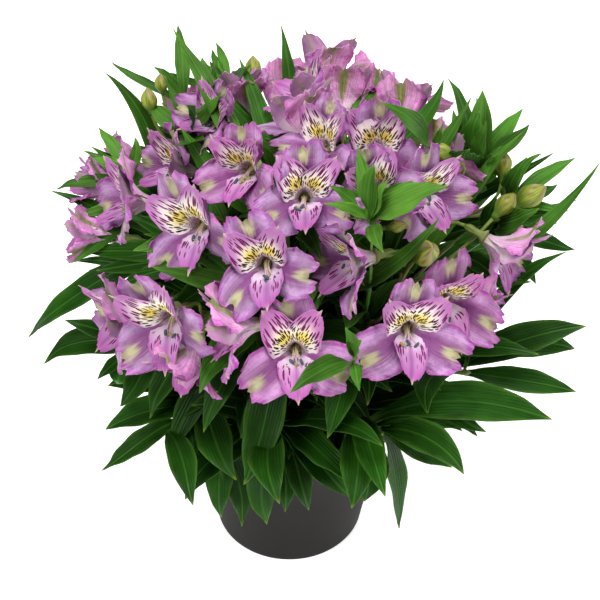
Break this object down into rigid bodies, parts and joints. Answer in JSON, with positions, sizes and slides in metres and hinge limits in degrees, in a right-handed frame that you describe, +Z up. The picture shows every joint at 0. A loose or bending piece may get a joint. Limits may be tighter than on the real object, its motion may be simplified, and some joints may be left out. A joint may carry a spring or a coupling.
{
  "type": "potted peruvian lily",
  "caption": "Bushy peruvian lily in a smooth round tapered pot: leafy stems stand in the soil, carry umbels of six-tepalled blooms and buds, and lean out over the rim.",
  "frame": {"origin": "middle of the flat underside of the pot", "axes": "+Z up along the pot's axis, -Y towards the pictured front, +X to the right as seen from the front"},
  "size_m": [0.3856, 0.3553, 0.4009],
  "materials": {
    "pot_grey": "matte",
    "potting_soil": "rough",
    "leaf_green": "satin",
    "tepal_lilac": "satin"
  },
  "bodies": {
    "root": {"pot": "pot_grey", "soil": "potting_soil", "stem_left": "leaf_green", "stem_left_low": "leaf_green", "stem_left_mid": "leaf_green", "stem_top_left": "leaf_green", "stem_front_left": "leaf_green", "stem_front": "leaf_green", "stem_front_mid": "leaf_green", "stem_front_right": "leaf_green", "stem_top_right": "leaf_green", "stem_top_back": "leaf_green", "stem_back_left": "leaf_green", "stem_right_back": "leaf_green", "stem_right": "leaf_green", "stem_back": "leaf_green", "stem_leafy_front_left": "leaf_green", "stem_leafy_front": "leaf_green", "stem_leafy_front_right": "leaf_green", "stem_leafy_right": "leaf_green", "stem_leafy_left": "leaf_green", "stem_leafy_back_left": "leaf_green", "stem_leafy_back": "leaf_green", "stem_leafy_back_right": "leaf_green", "bloom_01": "tepal_lilac", "bloom_02": "tepal_lilac", "bloom_03": "tepal_lilac", "bloom_04": "tepal_lilac", "bloom_05": "tepal_lilac", "bloom_06": "tepal_lilac", "bloom_07": "tepal_lilac", "bloom_08": "tepal_lilac", "bloom_09": "tepal_lilac", "bloom_10": "tepal_lilac", "bloom_11": "tepal_lilac", "bloom_12": "tepal_lilac", "bloom_13": "tepal_lilac", "bloom_14": "tepal_lilac", "bloom_15": "tepal_lilac", "bloom_16": "tepal_lilac", "bloom_17": "tepal_lilac", "bloom_18": "tepal_lilac", "bloom_19": "tepal_lilac", "bloom_20": "tepal_lilac", "bloom_21": "tepal_lilac", "bloom_22": "tepal_lilac", "bloom_23": "tepal_lilac", "bloom_24": "tepal_lilac", "bloom_25": "tepal_lilac", "bloom_26": "tepal_lilac", "bloom_27": "tepal_lilac", "bloom_28": "tepal_lilac", "bloom_29": "tepal_lilac", "bloom_30": "tepal_lilac", "bloom_31": "tepal_lilac", "bloom_32": "tepal_lilac", "bloom_33": "tepal_lilac", "bloom_34": "tepal_lilac", "bloom_35": "tepal_lilac", "bloom_36": "tepal_lilac"}
  },
  "joints": []
}
